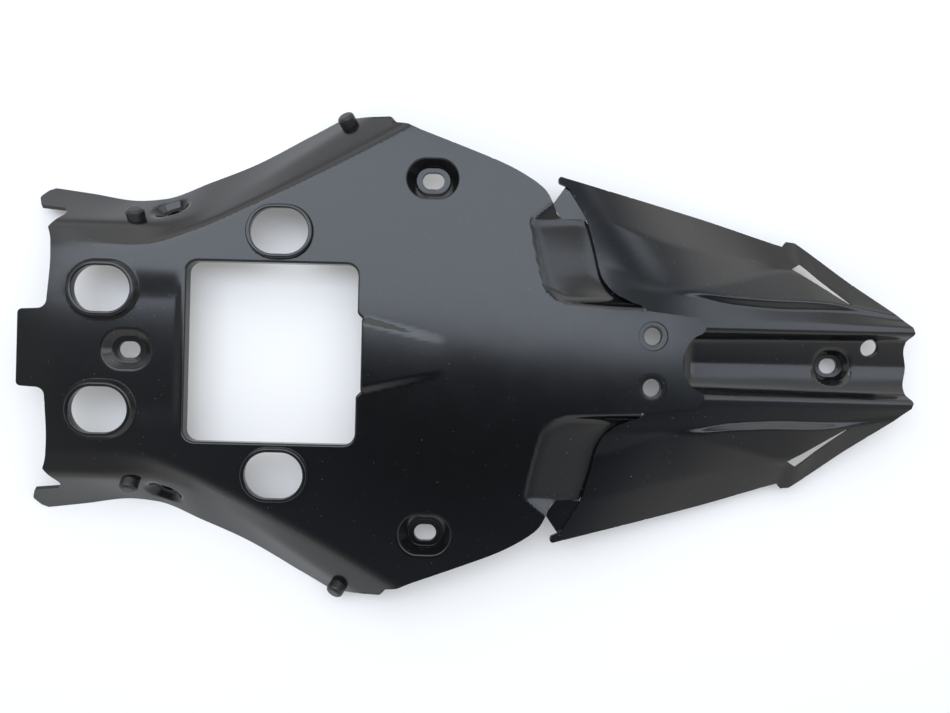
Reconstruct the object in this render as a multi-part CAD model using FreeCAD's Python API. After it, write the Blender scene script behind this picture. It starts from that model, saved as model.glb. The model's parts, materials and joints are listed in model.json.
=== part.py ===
import FreeCAD, Part
import os
from FreeCAD import Vector

os.makedirs("parts", exist_ok=True)

# Motorcycle undertray: a front tray whose tongue laps over a tail tray, and four rubber buffers.
# X runs from the front edge to the tail, Y across and Z up, in millimetres.
# The origin is the middle of the length and width, on the plane that the side skirts stand on.

# Overall
HALF_LENGTH = 293.0
FRONT_X = -HALF_LENGTH
TAIL_X = HALF_LENGTH
DECK_Z = 30.0
WALL = 2.5
LAP_CLEARANCE = 0.1

# Side skirt of the front tray, one row per station from the front
# x, deck half width, crease half width, crease drop, foot half width
SKIRT_STATIONS = [
    (FRONT_X - 7.0, 66.0, 82.5, 2.0, 112.0),
    (-230.0, 67.0, 83.6, 3.7, 103.0),
    (-212.0, 69.0, 83.3, 5.2, 104.6),
    (-180.0, 80.5, 92.0, 8.5, 116.8),
    (-150.0, 94.5, 108.0, 11.0, 129.4),
    (-115.0, 112.0, 131.0, 13.0, 148.6),
    (-85.0, 128.0, 151.0, 15.0, 166.5),
    (-15.0, 168.0, 192.0, 16.5, 206.0),
]
SKIRT_UNDERCUT = 3.0
DECK_BEND = 7.0
SKIRT_SLOPE_SPAN = 4.0

# Front tray outline
TAB_HALF_WIDTH = 25.0
TAB_DEPTH = 18.5
TAB_CORNER_R = 3.0
TAB_FLARE = 1.0
TAB_ROOT_R = 6.0
CHEEK = [(FRONT_X + 18.7, 33.0), (FRONT_X + 20.4, 55.0), (FRONT_X + 20.0, 70.0), (FRONT_X + 17.5, 79.0)]
HORN_NOTCH = (FRONT_X + 27.7, 93.4)
HORN_NOTCH_R = 2.5
HORN_TIP = [(FRONT_X + 5.4, 96.2), (FRONT_X, 103.0)]
BEYOND_FOOT = [(FRONT_X + 3.0, 114.0), (-232.0, 114.0), (-137.0, 154.0)]
SHOULDER_START = (-112.0, 150.0)
SHOULDER_CORNER = (-90.0, 161.8)
SHOULDER_R = 12.0
SHOULDER_END = (-54.0, 158.6)
SHOULDER_END_R = 4.0
REAR_STEP = [(-50.0, 153.2), (-42.0, 151.5)]
REAR_STEP_R = 2.0
REAR_EDGE = [(-33.0, 147.6), (-1.4, 136.0), (22.0, 126.8), (38.0, 118.4), (48.5, 110.5), (54.0, 102.5),
             (57.5, 95.5)]
TONGUE_HALF = 33.2
TONGUE_TIP_HALF = 30.0
TONGUE_TIP_X = 154.0
TONGUE_TIP_R = 5.0
TONGUE_HORN_X = 149.5
TONGUE_HORN_HALF = 19.5
TONGUE_BITE_X = 140.3

# Pockets that the wings of the tail tray lie over
POCKET_DEPTH = 8.5
POCKET_MOUTH = [(38.3, 87.0), (44.3, 62.0), (50.0, 43.5), (62.0, 35.4)]
POCKET_FLOOR = [(45.5, 83.0), (48.5, 63.0), (54.0, 46.5), (64.0, 37.6)]
POCKET_OUTER_SLOPE = 0.966
POCKET_REAR = [(88.0, 95.0), (93.0, 78.0), (98.0, 60.0), (106.0, 52.0), (118.0, 47.0)]
POCKET_END_X = 118.0
POCKET_OVERRUN = 14.0
POCKET_TAPER = 2.0

# Window
WINDOW_FRONT_X = -184.0
WINDOW_REAR_X = -72.0
WINDOW_HALF_WIDTH = 58.8
WINDOW_CORNER_R = 9.0
WINDOW_NOTCH_DEPTH = 3.2
WINDOW_NOTCH_HALF = 27.6
WINDOW_NOTCH_R = 2.0
LIP_DROP = 8.0

# Sunk front panel
PANEL_DROP = 3.0
PANEL_MOUTH_HALF = 56.0
PANEL_FLOOR_HALF = 49.0
PANEL_MOUTH_REAR_X = -186.8
PANEL_FLOOR_REAR_X = -190.5
STEP_WALL_SHARE = 0.75

# Ramp behind the window
RAMP_RISE = 6.0
RAMP_END_X = -15.5
RAMP_FRONT_HALF = 28.0
RAMP_END_HALF = 11.4
RAMP_SIDE_RUN = 2.5
RAMP_EDGE = 0.05

# Oval openings with raised collars
OVAL_FRONT = (FRONT_X + 54.7, 39.2)
OVAL_REAR = (-123.6, 78.4)
OVAL_LENGTH = 37.0
OVAL_WIDTH = 29.2
COLLAR_BASE = 5.6
COLLAR_TOP = 3.0
COLLAR_RISE = 4.5

# Sunk bolt slots
SLOT_LENGTH = 14.4
SLOT_WIDTH = 10.6
SLOT_SEAT_LENGTH = 22.0
SLOT_SEAT_WIDTH = 17.0
FRONT_SLOT_X = -222.0
FRONT_SLOT_MOUTH = (32.0, 25.0)
FRONT_SLOT_DROP = 4.0
DECK_SLOT = (-25.0, 116.2)
DECK_SLOT_MOUTH = (33.8, 25.4)
DECK_SLOT_DROP = 8.0

# Bolt cups in the skirts
SKIRT_CUP_X = FRONT_X + 91.0
SKIRT_CUP_SHARE = 0.5
SKIRT_CUP_MOUTH = (23.0, 17.0)
SKIRT_CUP_SEAT = (17.0, 11.5)
SKIRT_CUP_HOLE = (9.5, 6.5)
SKIRT_CUP_DROP = 4.0

# Holes that join the tongue to the tail tray
JOIN_X = 121.0
JOIN_HALF_SPACING = 16.8
JOIN_HOLE_D = 11.6
JOIN_RING_D = 19.4
JOIN_RING_DROP = 0.9

# Rubber buffers
BUFFER_FRONT_X = FRONT_X + 71.5
BUFFER_FRONT_SHARE = 0.2
BUFFER_REAR_X = -83.5
BUFFER_REAR_SHARE = 0.25
BUFFER_D = 11.6
BUFFER_HEIGHT = 7.0
BUFFER_CHAMFER = 1.6
BUFFER_STEM_D = 6.0
BUFFER_STEM_LENGTH = 6.0
BUFFER_STEM_CLEARANCE = 0.1

# Tail tray cross-sections, one row per station from the front
# x, trough depth share, trough foot half width, trough foot rise, plateau rise,
# plateau root half width, plateau root z, plateau side half width, plateau side z,
# flank half width, flank z, rim half width, rim z
TAIL_STATIONS = [
    (50.0, 0.0, 15.5, 0.0, 0.0, 44.0, 26.6, 62.0, 25.2, 92.0, 26.6, 124.0, 28.4),
    (85.0, 0.0, 15.5, 0.0, 0.0, 44.0, 26.4, 62.0, 24.9, 90.5, 25.4, 116.0, 24.6),
    (134.0, 0.0, 15.5, 0.0, 0.0, 44.0, 26.0, 54.0, 25.1, 78.5, 22.2, 104.5, 16.8),
    (150.0, 1.0, 15.5, 2.0, 0.6, 44.0, 26.0, 53.0, 25.4, 75.5, 21.4, 100.5, 14.2),
    (TAIL_X - 81.0, 1.0, 16.8, 2.6, 3.0, 42.0, 25.8, 63.5, 24.4, 67.5, 18.6, 85.0, 8.0),
    (TAIL_X - 59.0, 1.0, 17.3, 2.9, 3.0, 39.8, 25.7, 51.2, 25.6, 55.0, 20.6, 75.0, 10.5),
    (TAIL_X - 39.0, 1.0, 17.8, 3.2, 1.8, 36.6, 25.6, 41.2, 25.6, 44.0, 23.0, 59.0, 14.6),
    (TAIL_X + 3.0, 1.0, 18.6, 3.6, 0.3, 30.0, 26.0, 35.0, 24.6, 38.5, 23.4, 44.0, 20.0),
]
TROUGH_DEPTH = 10.0
TROUGH_TOP_HALF = 21.2
RIDGE_HALF = 26.5
PLATEAU_WALL_RUN = 2.2

# Tail tray outline
UNDERLAP_X = 104.0
UNDERLAP_HALF = 30.5
UNDERLAP_CLEARANCE = 1.5
WING_FRONT_EDGE = [(112.0, 38.4), (103.0, 41.2), (93.5, 47.2), (87.0, 56.5), (82.0, 75.5), (77.4, 90.5),
                   (73.3, 98.5), (65.0, 112.5)]
WING_HOOK = [(61.6, 115.2), (57.0, 117.6), (58.0, 120.0)]
WING_HOOK_R = 0.8
WING_RIM = [(87.0, 112.8), (140.5, 100.2), (169.5, 92.6), (TAIL_X - 82.3, 80.0)]
TAIL_LUG = [(TAIL_X - 79.0, 83.6), (TAIL_X - 74.0, 82.4)]
TAIL_TIP = [(TAIL_X - 1.4, 26.6), (TAIL_X, 23.0)]
TAIL_NOTCH = (TAIL_X - 2.9, 12.8)
TAIL_HUMP_X = TAIL_X - 0.6

# Wing tabs, slits and holes of the tail tray
WING_TAB = [(62.5, 114.4), (54.9, 102.6), (61.6, 93.0), (80.0, 96.0), (84.0, 106.0)]
WING_TAB_TOP_Z = 25.2
WING_TAB_CLEARANCE = 0.6
SLIT = [(TAIL_X - 79.4, 63.4), (TAIL_X - 74.6, 66.6), (TAIL_X - 41.0, 40.4)]
SLIT_R = 1.2
TAIL_SLOT_X = TAIL_X - 49.7
TAIL_SLOT_MOUTH = (23.6, 20.4)
TAIL_SLOT_SEAT = (18.0, 14.6)
TAIL_SLOT_HOLE = (12.0, 10.0)
TAIL_SLOT_DROP = 4.5
WIRE_HOLE = (TAIL_X - 25.7, 12.6)
WIRE_HOLE_D = 11.0

# Extent of cutting tools beyond the part
REACH = 400.0
CEILING_Z = DECK_Z + 20.0
TOOL_OVERRUN = 10.0


def mirrored(points):
    return [(x, -y) for x, y in reversed(points)]


def flat_wire(points, z):
    corners = [Vector(x, y, z) for x, y in points]
    return Part.makePolygon(corners + corners[:1])


def prism(points, z0, z1):
    return Part.Face(flat_wire(points, z0)).extrude(Vector(0, 0, z1 - z0))


def outline_prism(runs, z0, z1, radii):
    """Extrude a closed plan outline.

    A run of one point is a corner and a longer run is a curve through its points. The runs are
    joined by straight lines. radii maps a corner, and its mirror image, to a fillet radius.
    """
    edges = []
    for run, after in zip(runs, runs[1:] + runs[:1]):
        points = [Vector(x, y, z0) for x, y in run]
        if len(points) > 1:
            curve = Part.BSplineCurve()
            curve.interpolate(points)
            edges.append(curve.toShape())
        edges.append(Part.makeLine(points[-1], Vector(after[0][0], after[0][1], z0)))
    solid = Part.Face(Part.Wire(edges)).extrude(Vector(0, 0, z1 - z0))
    for (x, y), radius in radii.items():
        uprights = [e for e in solid.Edges if e.Vertexes[0].Z != e.Vertexes[-1].Z
                    and all(abs(v.X - x) < 1e-6 and abs(abs(v.Y) - y) < 1e-6 for v in e.Vertexes)]
        solid = solid.makeFillet(radius, uprights)
    return solid


def both_sides(half_runs, middle=()):
    """Runs of one half, an optional run across the middle, and the mirrored half."""
    return half_runs + list(middle) + [mirrored(run) for run in reversed(half_runs)]


def stadium(length, width, z):
    """Closed slot outline along X, centred on the Z axis."""
    half = max((length - width) / 2, 0.05)
    r = width / 2
    right = Part.Arc(Vector(half, -r, z), Vector(half + r, 0, z), Vector(half, r, z))
    left = Part.Arc(Vector(-half, r, z), Vector(-half - r, 0, z), Vector(-half, -r, z))
    top = Part.makeLine(Vector(half, r, z), Vector(-half, r, z))
    bottom = Part.makeLine(Vector(-half, -r, z), Vector(half, -r, z))
    return Part.Wire([right.toShape(), top, left.toShape(), bottom])


def stadium_plug(length, width, z0, z1):
    return Part.Face(stadium(length, width, z0)).extrude(Vector(0, 0, z1 - z0))


def tapered_plug(mouth, seat, z_mouth, z_seat):
    return Part.makeLoft([stadium(*seat, z_seat), stadium(*mouth, z_mouth)], True)


def cup_tools(mouth, seat, drop):
    """Outside and inside of a sunk cup whose mouth lies on z = 0."""
    grown_mouth = (mouth[0] + 2 * WALL, mouth[1] + 2 * WALL)
    grown_seat = (seat[0] + 2 * WALL, seat[1] + 2 * WALL)
    outside = tapered_plug(grown_mouth, grown_seat, -WALL / 2, -drop - WALL)
    inside = tapered_plug(mouth, seat, 0, -drop)
    inside = inside.fuse(stadium_plug(*mouth, 0, WALL))
    return outside, inside


def sink_cup(sheet, placement, mouth, seat, hole, drop):
    outside, inside = cup_tools(mouth, seat, drop)
    bore = stadium_plug(*hole, -drop - 3 * WALL, 0)
    for tool in (outside, inside, bore):
        tool.Placement = placement
    return sheet.fuse(outside).cut(inside).cut(bore)


def at(x, y, z):
    return FreeCAD.Placement(Vector(x, y, z), FreeCAD.Rotation())


def bent_chain(points, bends):
    """Straight runs through the points; bends maps a corner's index to the setback of a smooth bend."""
    edges = []
    start = points[0]
    for index, corner in enumerate(points[1:], 1):
        if index not in bends:
            edges.append(Part.makeLine(start, corner))
            start = corner
            continue
        into = corner + (points[index - 1] - corner).normalize() * bends[index]
        out = corner + (points[index + 1] - corner).normalize() * bends[index]
        edges.append(Part.makeLine(start, into))
        bend = Part.BezierCurve()
        bend.setPoles([into, corner, out])
        edges.append(bend.toShape())
        start = out
    return edges


def lowered(points, wall):
    """Offset a left-to-right section polyline downwards by the wall, mitred at the corners."""
    normals = []
    for a, b in zip(points, points[1:]):
        run = (b - a).normalize()
        normals.append(Vector(0, run.z, -run.y) if run.y > 0 else Vector(0, -run.z, run.y))
    out = [points[0] + normals[0] * wall]
    for corner, n0, n1 in zip(points[1:], normals, normals[1:]):
        mid = n0 + n1
        out.append(corner + mid * (2 * wall / mid.dot(mid)))
    out.append(points[-1] + normals[-1] * wall)
    return out


def sheet_section(x, half, bends):
    """Closed section of a sheet from its right half, given as (y, z) from the middle outwards.

    bends maps an index in that half to the setback of a smooth bend there.
    """
    right = [Vector(x, y, z) for y, z in half]
    left = [Vector(x, -y, z) for y, z in reversed(half) if y > 0]
    top = left + right
    under = list(reversed(lowered(top, WALL)))
    last = len(top) - 1
    both = {}
    for index, setback in bends.items():
        both[len(left) + index] = setback
        both[last - len(left) - index] = setback
    edges = bent_chain(top, both)
    edges.append(Part.makeLine(top[-1], under[0]))
    edges += bent_chain(under, both)
    edges.append(Part.makeLine(under[-1], top[0]))
    return Part.Wire(edges)


def skirt_at(x):
    """Interpolated skirt row at a station."""
    for low, high in zip(SKIRT_STATIONS, SKIRT_STATIONS[1:]):
        if low[0] <= x <= high[0]:
            t = (x - low[0]) / (high[0] - low[0])
            return [a + (b - a) * t for a, b in zip(low, high)]
    raise ValueError("station outside the skirt")


def skirt_frame(x, share, side):
    """Placement on the outer skirt face, Z out of the face and X along the tray."""
    here = skirt_at(x)
    near = skirt_at(x + SKIRT_SLOPE_SPAN)
    points = []
    for row in (here, near):
        top = Vector(row[0], row[2], DECK_Z - row[3])
        foot = Vector(row[0], row[4], 0)
        points.append((top, foot))
    spot = points[0][0] + (points[0][1] - points[0][0]) * share
    ahead = points[1][0] + (points[1][1] - points[1][0]) * share
    down = (points[0][1] - points[0][0]).normalize()
    along = (ahead - spot).normalize()
    out = along.cross(down)
    if out.z < 0:
        out = out * -1
    along = (along - out * along.dot(out)).normalize()
    if side < 0:
        spot = Vector(spot.x, -spot.y, spot.z)
        along = Vector(along.x, -along.y, along.z)
        out = Vector(out.x, -out.y, out.z)
    across = out.cross(along)
    return FreeCAD.Placement(FreeCAD.Matrix(
        along.x, across.x, out.x, spot.x,
        along.y, across.y, out.y, spot.y,
        along.z, across.z, out.z, spot.z,
        0, 0, 0, 1))


def skirt_sheet():
    sections = []
    for x, deck, crease, drop, foot in SKIRT_STATIONS:
        lean = (foot - crease) / (DECK_Z - drop)
        half = [(deck, DECK_Z), (crease, DECK_Z - drop),
                (foot + lean * SKIRT_UNDERCUT, -SKIRT_UNDERCUT)]
        sections.append(sheet_section(x, half, {0: DECK_BEND}))
    return Part.makeLoft(sections, True, True)


def front_outline():
    """Plan prism of the front tray, pockets and tongue included."""
    tab = (FRONT_X, TAB_HALF_WIDTH)
    tab_root = (FRONT_X + TAB_DEPTH, TAB_HALF_WIDTH + TAB_FLARE)
    tongue_root = (POCKET_END_X, TONGUE_HALF)
    tongue_side = (TONGUE_TIP_X - TONGUE_TIP_R, TONGUE_TIP_HALF)
    tongue_tip = (TONGUE_TIP_X, TONGUE_TIP_HALF - TONGUE_TIP_R)
    tongue_horn = (TONGUE_HORN_X, TONGUE_HORN_HALF)
    corners = [HORN_NOTCH] + HORN_TIP + BEYOND_FOOT
    corners += [SHOULDER_START, SHOULDER_CORNER, SHOULDER_END] + REAR_STEP
    half = [[tab], [tab_root], CHEEK] + [[corner] for corner in corners] + [REAR_EDGE]
    half += [[corner] for corner in POCKET_REAR]
    half += [[tongue_root], [tongue_side], [tongue_tip], [tongue_horn]]
    radii = {tab: TAB_CORNER_R, tab_root: TAB_ROOT_R, HORN_NOTCH: HORN_NOTCH_R,
             SHOULDER_CORNER: SHOULDER_R, SHOULDER_END: SHOULDER_END_R, REAR_STEP[0]: REAR_STEP_R,
             tongue_side: TONGUE_TIP_R, tongue_tip: TONGUE_TIP_R / 2}
    solid = outline_prism(both_sides(half), 0, CEILING_Z, radii)
    rise = tongue_horn[0] - TONGUE_BITE_X
    bite_r = (TONGUE_HORN_HALF ** 2 + rise ** 2) / (2 * rise)
    bite = Part.makeCylinder(bite_r, CEILING_Z, Vector(TONGUE_BITE_X + bite_r, 0, 0))
    return solid.cut(bite)


def step_tools(mouth, floor, drop):
    """Outside and inside of a sunk area with sloping sides, open above the deck."""
    z_floor = DECK_Z - drop
    inside = Part.makeLoft([flat_wire(floor, z_floor), flat_wire(mouth, DECK_Z)], True, True)
    inside = inside.fuse(prism(mouth, DECK_Z, CEILING_Z))
    side_wall = STEP_WALL_SHARE * WALL
    grown_mouth = flat_wire(mouth, DECK_Z - WALL / 2).makeOffset2D(side_wall, 2)
    grown_floor = flat_wire(floor, z_floor - WALL).makeOffset2D(side_wall, 2)
    outside = Part.makeLoft([grown_floor, grown_mouth], True, True)
    return outside, inside


def pocket_corners(points):
    """Close a pocket edge behind the rear end of the front tray and beyond its side."""
    first_x, first_y = points[0]
    end_x = POCKET_END_X + POCKET_OVERRUN
    far_y = first_y + POCKET_OUTER_SLOPE * (end_x - first_x)
    return list(points) + [(end_x, points[-1][1] - POCKET_TAPER), (end_x, far_y)]


def window_prism(grow, z0, z1):
    front = (WINDOW_FRONT_X - grow, WINDOW_HALF_WIDTH + grow)
    rear_x = WINDOW_REAR_X + grow
    rear = (rear_x, WINDOW_HALF_WIDTH + grow)
    step = (rear_x, WINDOW_NOTCH_HALF + grow)
    notch = (rear_x + WINDOW_NOTCH_DEPTH, WINDOW_NOTCH_HALF + grow - WINDOW_NOTCH_DEPTH)
    corner_r = WINDOW_CORNER_R + grow
    radii = {front: corner_r, rear: corner_r, step: WINDOW_NOTCH_R, notch: WINDOW_NOTCH_R}
    return outline_prism(both_sides([[front], [rear], [step], [notch]]), z0, z1, radii)


def collar(x, y):
    base = (OVAL_LENGTH + 2 * COLLAR_BASE, OVAL_WIDTH + 2 * COLLAR_BASE)
    top = (OVAL_LENGTH + 2 * COLLAR_TOP, OVAL_WIDTH + 2 * COLLAR_TOP)
    ring = tapered_plug(top, base, COLLAR_RISE, 0)
    ring = ring.fuse(stadium_plug(*base, -PANEL_DROP - WALL, 0))
    ring.Placement = at(x, y, DECK_Z)
    return ring


def ramp_solid(z_base):
    """Raised ramp behind the window, falling to the deck at its far end."""
    front = WINDOW_REAR_X - TOOL_OVERRUN
    sections = []
    for x, half, rise in ((front, RAMP_FRONT_HALF, RAMP_RISE), (RAMP_END_X, RAMP_END_HALF, RAMP_EDGE)):
        top = half - RAMP_SIDE_RUN
        points = [Vector(x, -half, z_base), Vector(x, half, z_base), Vector(x, half, DECK_Z),
                  Vector(x, top, DECK_Z + rise), Vector(x, -top, DECK_Z + rise),
                  Vector(x, -half, DECK_Z)]
        sections.append(Part.makePolygon(points + points[:1]))
    return Part.makeLoft(sections, True, True)


def make_front_tray():
    sheet = skirt_sheet()
    rear_x = SKIRT_STATIONS[-1][0]
    plate = Part.makeBox(TONGUE_TIP_X + TOOL_OVERRUN - rear_x, 2 * REACH, WALL,
                         Vector(rear_x, -REACH, DECK_Z - WALL))
    sheet = sheet.fuse(plate)

    mouth = pocket_corners(POCKET_MOUTH)
    floor = pocket_corners(POCKET_FLOOR)
    panel_mouth = [(-REACH, -PANEL_MOUTH_HALF), (PANEL_MOUTH_REAR_X, -PANEL_MOUTH_HALF),
                   (PANEL_MOUTH_REAR_X, PANEL_MOUTH_HALF), (-REACH, PANEL_MOUTH_HALF)]
    panel_floor = [(-REACH, -PANEL_FLOOR_HALF), (PANEL_FLOOR_REAR_X, -PANEL_FLOOR_HALF),
                   (PANEL_FLOOR_REAR_X, PANEL_FLOOR_HALF), (-REACH, PANEL_FLOOR_HALF)]
    steps = [(panel_mouth, panel_floor, PANEL_DROP), (mouth, floor, POCKET_DEPTH),
             (mirrored(mouth), mirrored(floor), POCKET_DEPTH)]
    for step_mouth, step_floor, drop in steps:
        outside, inside = step_tools(step_mouth, step_floor, drop)
        sheet = sheet.fuse(outside).cut(inside)

    ramp = ramp_solid(DECK_Z - 1.5 * WALL)
    hollow = ramp.copy()
    hollow.translate(Vector(0, 0, -WALL))
    sheet = sheet.fuse(ramp).cut(hollow)
    under_tongue = Part.makeBox(TONGUE_TIP_X - POCKET_END_X, 2 * REACH, DECK_Z - WALL,
                                Vector(POCKET_END_X, -REACH, 0))
    sheet = sheet.common(front_outline()).cut(under_tongue)

    lip = window_prism(WALL, DECK_Z - LIP_DROP, DECK_Z - WALL / 2)
    sheet = sheet.fuse(lip)
    for x, y in (OVAL_FRONT, OVAL_REAR):
        for side in (1, -1):
            sheet = sheet.fuse(collar(x, side * y))
    seat = (SLOT_SEAT_LENGTH, SLOT_SEAT_WIDTH)
    hole = (SLOT_LENGTH, SLOT_WIDTH)
    sheet = sink_cup(sheet, at(FRONT_SLOT_X, 0, DECK_Z - PANEL_DROP), FRONT_SLOT_MOUTH, seat, hole,
                     FRONT_SLOT_DROP)
    for side in (1, -1):
        place = at(DECK_SLOT[0], side * DECK_SLOT[1], DECK_Z)
        sheet = sink_cup(sheet, place, DECK_SLOT_MOUTH, seat, hole, DECK_SLOT_DROP)
        place = skirt_frame(SKIRT_CUP_X, SKIRT_CUP_SHARE, side)
        sheet = sink_cup(sheet, place, SKIRT_CUP_MOUTH, SKIRT_CUP_SEAT, SKIRT_CUP_HOLE, SKIRT_CUP_DROP)

    sheet = sheet.cut(window_prism(0, 0, CEILING_Z))
    for x, y in (OVAL_FRONT, OVAL_REAR):
        for side in (1, -1):
            bore = stadium_plug(OVAL_LENGTH, OVAL_WIDTH, -DECK_Z, COLLAR_RISE + TOOL_OVERRUN)
            bore.Placement = at(x, side * y, DECK_Z)
            sheet = sheet.cut(bore)
    for side in (1, -1):
        centre = Vector(JOIN_X, side * JOIN_HALF_SPACING, DECK_Z - JOIN_RING_DROP)
        sheet = sheet.cut(Part.makeCylinder(JOIN_RING_D / 2, WALL, centre))
        sheet = sheet.cut(Part.makeCylinder(JOIN_HOLE_D / 2, 2 * TOOL_OVERRUN, centre, Vector(0, 0, -1)))
        for x, share in ((BUFFER_FRONT_X, BUFFER_FRONT_SHARE), (BUFFER_REAR_X, BUFFER_REAR_SHARE)):
            bore = Part.makeCylinder(BUFFER_STEM_D / 2 + BUFFER_STEM_CLEARANCE, 2 * TOOL_OVERRUN,
                                     Vector(0, 0, -TOOL_OVERRUN))
            bore.Placement = skirt_frame(x, share, side)
            sheet = sheet.cut(bore)
    return sheet


def tail_section(row):
    x, sunk, foot, foot_rise, rise, root, z_root, side, z_side, flank, z_flank, rim, z_rim = row
    ridge = DECK_Z - WALL - LAP_CLEARANCE
    floor = ridge - TROUGH_DEPTH * sunk
    half = [(0, floor), (foot, floor + foot_rise),
            (TROUGH_TOP_HALF, ridge), (RIDGE_HALF, ridge), (root, z_root),
            (root + PLATEAU_WALL_RUN, z_root + rise), (side, z_side), (flank, z_flank), (rim, z_rim)]
    return sheet_section(x, half, {})


def tail_outline():
    clear_x = POCKET_END_X + UNDERLAP_CLEARANCE
    half = [[(UNDERLAP_X, UNDERLAP_HALF)], [(clear_x, UNDERLAP_HALF)], [(clear_x, WING_FRONT_EDGE[0][1])],
            WING_FRONT_EDGE]
    half += [[corner] for corner in WING_HOOK] + [WING_RIM]
    half += [[corner] for corner in TAIL_LUG + TAIL_TIP[:1]]
    end = [TAIL_TIP[1], TAIL_NOTCH, (TAIL_HUMP_X, 0.0)]
    end += mirrored(end[:2])
    radii = {WING_HOOK[1]: WING_HOOK_R, WING_HOOK[2]: WING_HOOK_R}
    return outline_prism(both_sides(half, [end]), 0, CEILING_Z, radii)


def wing_tab(side, grow, z0, z1):
    corners = [(x, side * y) for x, y in WING_TAB]
    wire = flat_wire(corners, z0)
    if grow > 0:
        wire = wire.makeOffset2D(grow, 2)
    return Part.Face(wire).extrude(Vector(0, 0, z1 - z0))


def slit_prism(side):
    corners = [(x, side * y) for x, y in SLIT]
    solid = prism(corners, 0, CEILING_Z)
    uprights = [e for e in solid.Edges
                if all(v.X < SLIT[1][0] + 1 for v in e.Vertexes) and e.BoundBox.ZLength > 1]
    return solid.makeFillet(SLIT_R, uprights)


def make_tail_tray():
    sheet = Part.makeLoft([tail_section(row) for row in TAIL_STATIONS], True, True)
    sheet = sheet.common(tail_outline())
    floor_z = DECK_Z - WALL - LAP_CLEARANCE - TROUGH_DEPTH
    sheet = sink_cup(sheet, at(TAIL_SLOT_X, 0, floor_z), TAIL_SLOT_MOUTH, TAIL_SLOT_SEAT, TAIL_SLOT_HOLE,
                     TAIL_SLOT_DROP)
    wire_hole = Part.makeCylinder(WIRE_HOLE_D / 2, CEILING_Z, Vector(*WIRE_HOLE, 0))
    sheet = sheet.cut(wire_hole)
    for side in (1, -1):
        sheet = sheet.fuse(wing_tab(side, 0, WING_TAB_TOP_Z - WALL, WING_TAB_TOP_Z))
        sheet = sheet.cut(slit_prism(side))
        centre = Vector(JOIN_X, side * JOIN_HALF_SPACING, 0)
        sheet = sheet.cut(Part.makeCylinder(JOIN_HOLE_D / 2, CEILING_Z, centre))
    return sheet


def make_buffer(x, share, side, tray):
    """Rubber buffer standing out of the skirt, its stem pushed through the hole."""
    head = Part.makeCylinder(BUFFER_D / 2, BUFFER_HEIGHT + WALL / 2, Vector(0, 0, -WALL / 2))
    crown = [e for e in head.Edges if e.BoundBox.ZMin > BUFFER_HEIGHT - 1e-6]
    head = head.makeChamfer(BUFFER_CHAMFER, crown)
    stem = Part.makeCylinder(BUFFER_STEM_D / 2, BUFFER_STEM_LENGTH, Vector(0, 0, -BUFFER_STEM_LENGTH))
    buffer = head.fuse(stem)
    buffer.Placement = skirt_frame(x, share, side)
    return buffer.cut(tray)


front_tray = make_front_tray()
tail_tray = make_tail_tray()
for side in (1, -1):
    gap = wing_tab(side, WING_TAB_CLEARANCE, WING_TAB_TOP_Z - WALL - WING_TAB_CLEARANCE, CEILING_Z)
    front_tray = front_tray.cut(gap)

nodes = {"front_tray": front_tray, "tail_tray": tail_tray}
for name, x, share in (("front", BUFFER_FRONT_X, BUFFER_FRONT_SHARE),
                       ("rear", BUFFER_REAR_X, BUFFER_REAR_SHARE)):
    for hand, side in (("left", 1), ("right", -1)):
        nodes["buffer_%s_%s" % (name, hand)] = make_buffer(x, share, side, front_tray)

for node, shape in nodes.items():
    shape.exportStep("parts/%s.step" % node)
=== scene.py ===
"""Looks of a moulded motorcycle undertray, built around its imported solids.

The trays are remade as fine sheets: a plan outline with openings is filled, ruled into small cells,
lifted to a smooth surface and given its wall. Sizes are millimetres while a piece is modelled, and
its mesh is scaled to metres when it is finished.
"""

from __future__ import annotations

import json
import logging
import math
from bisect import bisect_right
from dataclasses import dataclass
from enum import Enum
from typing import Any, Callable, Iterable, Sequence

import bmesh
import bpy
from bmesh.types import BMEdge, BMesh, BMFace, BMVert
from bpy.types import ID, Material, Node, NodeSocket, Object, World
from mathutils import Matrix, Vector
from mathutils.geometry import interpolate_bezier
from mathutils.kdtree import KDTree

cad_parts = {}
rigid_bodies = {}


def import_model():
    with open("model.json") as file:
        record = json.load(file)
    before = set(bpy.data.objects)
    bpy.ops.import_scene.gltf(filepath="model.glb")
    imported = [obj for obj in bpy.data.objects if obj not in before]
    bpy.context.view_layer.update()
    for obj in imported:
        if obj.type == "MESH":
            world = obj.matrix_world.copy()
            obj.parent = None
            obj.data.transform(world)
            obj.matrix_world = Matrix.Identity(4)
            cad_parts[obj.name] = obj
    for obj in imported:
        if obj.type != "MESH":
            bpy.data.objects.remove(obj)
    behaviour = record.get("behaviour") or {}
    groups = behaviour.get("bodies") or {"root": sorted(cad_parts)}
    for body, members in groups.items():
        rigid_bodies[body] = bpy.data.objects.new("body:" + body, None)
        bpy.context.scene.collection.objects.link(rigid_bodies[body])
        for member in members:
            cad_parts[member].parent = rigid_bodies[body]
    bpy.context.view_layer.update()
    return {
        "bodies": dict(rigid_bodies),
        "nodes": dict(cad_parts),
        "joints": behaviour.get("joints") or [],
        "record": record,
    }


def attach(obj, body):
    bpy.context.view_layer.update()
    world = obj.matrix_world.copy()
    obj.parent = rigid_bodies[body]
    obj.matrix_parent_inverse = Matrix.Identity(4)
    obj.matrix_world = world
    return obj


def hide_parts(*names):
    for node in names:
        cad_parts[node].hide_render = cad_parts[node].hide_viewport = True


LOG = logging.getLogger("undertray")
MM = 0.001
TINY = 1e-4
ON_PLANE = 1e-5
SHARP_ANGLE = math.radians(55.0)
SMOOTH_ANGLE = math.radians(40.0)
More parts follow.
